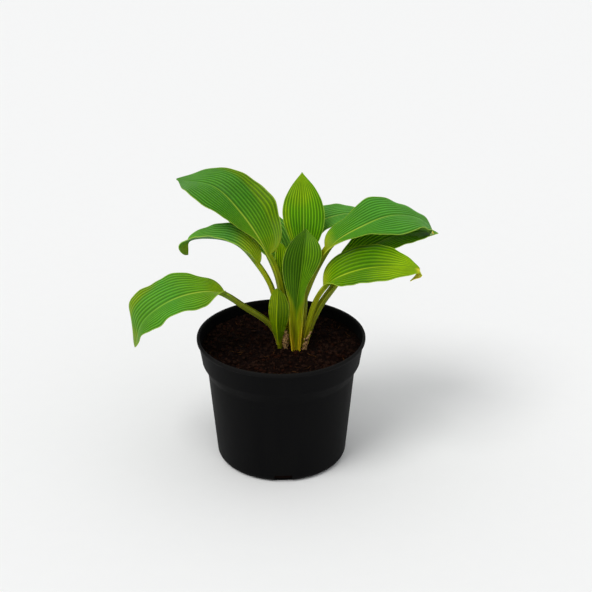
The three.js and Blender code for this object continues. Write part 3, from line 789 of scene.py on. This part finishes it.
# dry sheath scales are made like small leaves, with torn margins
scaleForm = {
    **leafForm, "ribs": 2, "rows": 60, "bladeStart": 0.45, "fold": (30, 30), "arch": (-10, -10),
    "outline": ((0.5, 0.6), (0.5, 0.6)),
}
scales = {
    "dry_scale_left": {
        "foot": (4.5, -10), "bearing": 265, "midrib": [(4.5, -12, 133), (4.5, -12, 146)],
        "width": (1.9, 1.9), "ripple": (0.8, 2, 0), "stalk": (2.2, 2.2, 1.2), "ragged": 0.75,
    },
    "dry_scale_right": {
        "foot": (24.5, -12), "bearing": 320, "midrib": [(26, -14, 134), (30, -16, 145)],
        "width": (2.3, 2.3), "ripple": (0.8, 2, 1), "stalk": (1.4, 2.2, 1.2), "ragged": 0.85,
    },
}


def midribCurve(points, stepsPerSpan=60):
    # centripetal Catmull-Rom through the points, measured along its length
    points = np.array(points, float)
    padded = np.vstack([2 * points[0] - points[1], points, 2 * points[-1] - points[-2]])
    steps = np.linspace(0, 1, stepsPerSpan, endpoint=False)[:, None]
    parts = []
    for i in range(len(points) - 1):
        p = padded[i:i + 4]
        gaps = np.sqrt(np.linalg.norm(np.diff(p, axis=0), axis=1))
        startPull = ((p[1] - p[0]) / gaps[0] - (p[2] - p[0]) / (gaps[0] + gaps[1]) + (p[2] - p[1]) / gaps[1])
        endPull = ((p[2] - p[1]) / gaps[1] - (p[3] - p[1]) / (gaps[1] + gaps[2]) + (p[3] - p[2]) / gaps[2])
        a, b = startPull * gaps[1], endPull * gaps[1]
        parts.append(p[1] + a * steps + (3 * (p[2] - p[1]) - 2 * a - b) * steps ** 2
                     + (2 * (p[1] - p[2]) + a + b) * steps ** 3)
    line = np.vstack(parts + [points[-1:]])
    length = np.concatenate([[0], np.cumsum(np.linalg.norm(np.diff(line, axis=0), axis=1))])
    return line, length / length[-1]


def halfSection(leaf, blade, side, reach):
    # across, up and thickness of one half of the leaf, for each row and each share of the half-width
    steps = len(reach) - 1
    inBlade = np.clip(blade, 0, 1)
    opened = smooth((blade - leaf["openFrom"]) / leaf["openSpread"])
    closing = smooth((blade - leaf["closeFrom"]) / leaf["closeSpread"])
    bladeFold = mixed(leaf["fold"][side], leaf["fold"][side] / 2, closing)
    fold = np.radians(mixed(leaf["stalkFold"], bladeFold, opened))
    arch = np.radians(mixed(leaf["stalkArch"], leaf["arch"][side], opened))
    curlFade = smooth((blade - leaf["curlEnd"]) / leaf["curlFade"])
    curl = np.radians(leaf["curl"][side] * (1 - curlFade) * opened)
    keel = mixed(leaf["stalk"][2], mixed(leaf["bladeKeel"], leaf["tipKeel"], inBlade), opened)
    edge = mixed(leaf["stalkEdge"], leaf["bladeEdge"], opened)

    rise, fall = leaf["outline"][side]
    peak = rise / (rise + fall)
    top = peak ** rise * (1 - peak) ** fall
    footWidth, neckWidth = leaf["stalk"][:2]
    ovate = leaf["width"][side] * inBlade ** rise * (1 - inBlade) ** fall / top
    neck = mixed(neckWidth, leaf["tipHalfWidth"], inBlade)
    width = np.where(blade <= 0, mixed(footWidth, neckWidth, smooth(1 + blade)), np.hypot(ovate, neck))
    if leaf["ragged"]:
        torn = np.array([noise.noise((b * 7.3, side * 5.1, leaf["foot"][0])) for b in blade])
        width = width * (1 + leaf["ragged"] * torn * 2)

    middle = (reach[1:] + reach[:-1])[None, :] / 2
    angle = (fold[:, None] - arch[:, None] * middle
             + curl[:, None] * smooth((middle - leaf["curlStart"]) / leaf["curlSpread"]))
    start = np.zeros((len(blade), 1))
    across = np.hstack([start, np.cumsum(np.cos(angle), axis=1)]) * width[:, None] / steps
    up = np.hstack([start, np.cumsum(np.sin(angle), axis=1)]) * width[:, None] / steps

    swell = np.sqrt(np.sin(np.pi * inBlade))[:, None]
    wave, count, phase = leaf["ripple"]
    turn = 2 * np.pi * inBlade[:, None]
    up = up + wave * swell * reach ** 2 * np.sin(count * turn + phase + side * 2)
    fineWave = np.sin(leaf["fineWaves"] * turn + phase * 3 + side)
    up = up + leaf["fineWaveHeight"] * swell * reach ** 3 * fineWave
    for along, bumpSide, height, spread in leaf["bumps"]:
        if bumpSide == side:
            up = up + height * np.exp(-((inBlade[:, None] - along) / spread) ** 2) * reach ** 3
    crest = (0.5 + 0.5 * np.cos(2 * np.pi * leaf["ribs"] * reach)) ** leaf["ribPeak"] - leaf["ribSink"]
    room = np.clip(width[:, None] / leaf["ribs"] / leaf["ribRoom"], 0, 1)
    up = up + leaf["ribHeight"] * swell * crest * room
    groove = np.exp(-(reach * width[:, None] / leaf["grooveWidth"]) ** 2)
    up = up - leaf["midribGroove"] * opened[:, None] * (1 - inBlade[:, None] ** 2) * groove
    sharpness = mixed(leaf["stalkRound"], leaf["bladeRound"], opened)[:, None]
    thickness = mixed(edge[:, None], keel[:, None], (1 - reach) ** sharpness)
    return across, up, thickness


def paleness(leaf, blade, signedReach):
    total = np.zeros((len(blade), len(signedReach)))
    for along, across, alongSpread, acrossSpread in leaf["palePatches"]:
        away = np.hypot((blade[:, None] - along) / alongSpread,
                        (signedReach[None, :] - across) / acrossSpread)
        total = np.maximum(total, 1 - smooth((away - leaf["paleCore"]) / leaf["paleEdge"]))
    return total


def titled(name):
    return "".join(word.capitalize() for word in name.split("_"))


def makeLeaf(name, leaf, materials):
    columns, rows = leaf["ribs"] * leaf["columnsPerRib"], leaf["rows"]
    bpy.ops.mesh.primitive_grid_add(x_subdivisions=2 * columns, y_subdivisions=rows, size=2, calc_uvs=True)
    piece = bpy.context.object
    flat = np.zeros(len(piece.data.vertices) * 3)
    piece.data.vertices.foreach_get("co", flat)
    flat = flat.reshape(-1, 3)
    column = np.rint((flat[:, 0] + 1) * columns).astype(int)
    row = np.rint((flat[:, 1] + 1) / 2 * rows).astype(int)

    # rows run along the midrib: the first part of the map is stalk, the rest is blade
    part = np.arange(rows + 1) / rows
    split = leafSurface["bladeStart"]
    share = np.where(part < split, part / split * leaf["bladeStart"],
                     mixed(leaf["bladeStart"], 1, (part - split) / (1 - split)))
    blade = np.where(share < leaf["bladeStart"], share / leaf["bladeStart"] - 1,
                     (share - leaf["bladeStart"]) / (1 - leaf["bladeStart"]))
    foot = leaf["foot"]
    line, length = midribCurve([(*foot, leaf["footBottom"]), (*foot, leaf["footTop"]), *leaf["midrib"]])
    centre = np.stack([np.interp(share, length, line[:, k]) for k in range(3)], axis=1)
    direction = np.gradient(line, length, axis=0)
    along = np.stack([np.interp(share, length, direction[:, k]) for k in range(3)], axis=1)
    along /= np.linalg.norm(along, axis=1)[:, None]
    twisted = smooth((blade - leaf["twistFrom"]) / leaf["twistSpread"])
    bearing = np.radians(leaf["bearing"] + leaf["twist"] * twisted)
    left = np.stack([-np.sin(bearing), np.cos(bearing), np.zeros(rows + 1)], axis=1)
    up = np.cross(along, left)
    up /= np.linalg.norm(up, axis=1)[:, None]
    across = np.cross(up, along)

    reach = np.arange(columns + 1) / columns
    halves = [halfSection(leaf, blade, side, reach) for side in (0, 1)]
    sideways = np.hstack([halves[0][0][:, ::-1], -halves[1][0][:, 1:]])
    height = np.hstack([halves[0][1][:, ::-1], halves[1][1][:, 1:]])
    thickness = np.hstack([halves[0][2][:, ::-1], halves[1][2][:, 1:]])
    points = (centre[:, None, :] + across[:, None, :] * sideways[:, :, None]
              + up[:, None, :] * height[:, :, None])
    piece.data.vertices.foreach_set("co", (points[row, column] * mm).ravel())

    # what the skin reads: how far up the leaf, which rib, and how pale
    signedReach = np.concatenate([reach[::-1], -reach[1:]])
    values = {
        "growth": part[:, None] + leaf["greenDown"] - leaf["notch"] * np.abs(signedReach)[None, :],
        "ribPhase": np.broadcast_to(leaf["ribs"] * np.abs(signedReach)[None, :], height.shape),
        "pale": paleness(leaf, blade, signedReach),
    }
    for valueName, grid in values.items():
        layer = piece.data.attributes.new(valueName, "FLOAT", "POINT")
        layer.data.foreach_set("value", grid[row, column].astype(np.float32))

    thickest = thickness.max()
    group = piece.vertex_groups.new(name="thickness")
    weights = thickness[row, column] / thickest
    for index, weight in enumerate(weights):
        group.add([index], float(weight), "REPLACE")
    body = piece.modifiers.new("flesh", "SOLIDIFY")
    body.thickness = float(thickest) * mm
    body.offset = -1
    body.vertex_group = "thickness"
    body.material_offset = len(materials) - 1
    for material in materials:
        piece.data.materials.append(material)
    applyModifiers(piece)
    bpy.ops.object.shade_smooth_by_angle(angle=math.radians(leaf["smoothAngle"]))
    settle(piece, "fine" + titled(name), [name])


for name, own in leaves.items():
    leaf = {**leafForm, **own}
    skin = leafSkin("waxy" + titled(name), {**leafTones, **leaf["tones"]})
    makeLeaf(name, leaf, [skin, skin if leaf["sameBothSides"] else underside])
for name, own in scales.items():
    makeLeaf(name, {**scaleForm, **own}, [sheath])
print("leaves made")


# Floor, light and camera

stageForm = {
    "floor": 8.0, "floorPlace": (0, 1.5, 0), "floorColour": "#F3F3F1",
    "sky": 0.7, "skyColour": "#FBFCFF",
    "sun": {"toward": (-0.4, -0.4, 0.82), "softness": 30, "power": 1.4},
}
cameraForm = {"focal": 76.3, "sensor": 36, "farEnd": 20, "pitch": 25.1, "place": (0.015, -1.13106, 0.70633)}


def makeStage():
    bpy.ops.mesh.primitive_plane_add(size=stageForm["floor"], location=stageForm["floorPlace"])
    floor = bpy.context.object
    floor.name = "studioFloor"
    paper, tree, shader = newMaterial("matteStudioPaper")
    place = addNode(tree, "ShaderNodeTexCoord")
    fibre = addNode(tree, "ShaderNodeTexNoise", {"Scale": 60.0, "Detail": 3.0},
                    {"Vector": place.outputs["Object"]})
    tint = addNode(tree, "ShaderNodeMapRange", {"To Min": 0.985}, {"Value": fibre})
    colour = addNode(tree, "ShaderNodeMix", {"data_type": "RGBA", "blend_type": "MULTIPLY", "Factor": 1.0,
                                             "A": linear(stageForm["floorColour"])}, {"B": tint})
    setUp(tree, shader, {"Roughness": 0.9}, {"Base Color": colour})
    floor.data.materials.append(paper)

    world = bpy.data.worlds.new("softSky")
    world.use_nodes = True
    setUp(world.node_tree, world.node_tree.nodes["Background"],
          {"Color": linear(stageForm["skyColour"]), "Strength": stageForm["sky"]})
    bpy.context.scene.world = world
    form = stageForm["sun"]
    bpy.ops.object.light_add(type="SUN")
    lamp = bpy.context.object
    lamp.name = "broadSoftLight"
    lamp.data.energy = form["power"]
    lamp.data.angle = math.radians(form["softness"])
    lamp.rotation_euler = Vector(form["toward"]).to_track_quat("Z", "Y").to_euler()

    bpy.ops.object.camera_add(location=cameraForm["place"],
                              rotation=(math.radians(90 - cameraForm["pitch"]), 0, 0))
    camera = bpy.context.object
    camera.name = "photoCamera"
    camera.data.lens = cameraForm["focal"]
    camera.data.sensor_width = cameraForm["sensor"]
    camera.data.clip_end = cameraForm["farEnd"]
    bpy.context.scene.camera = camera
    bpy.context.scene.view_settings.view_transform = "Standard"


makeStage()
print("stage made")
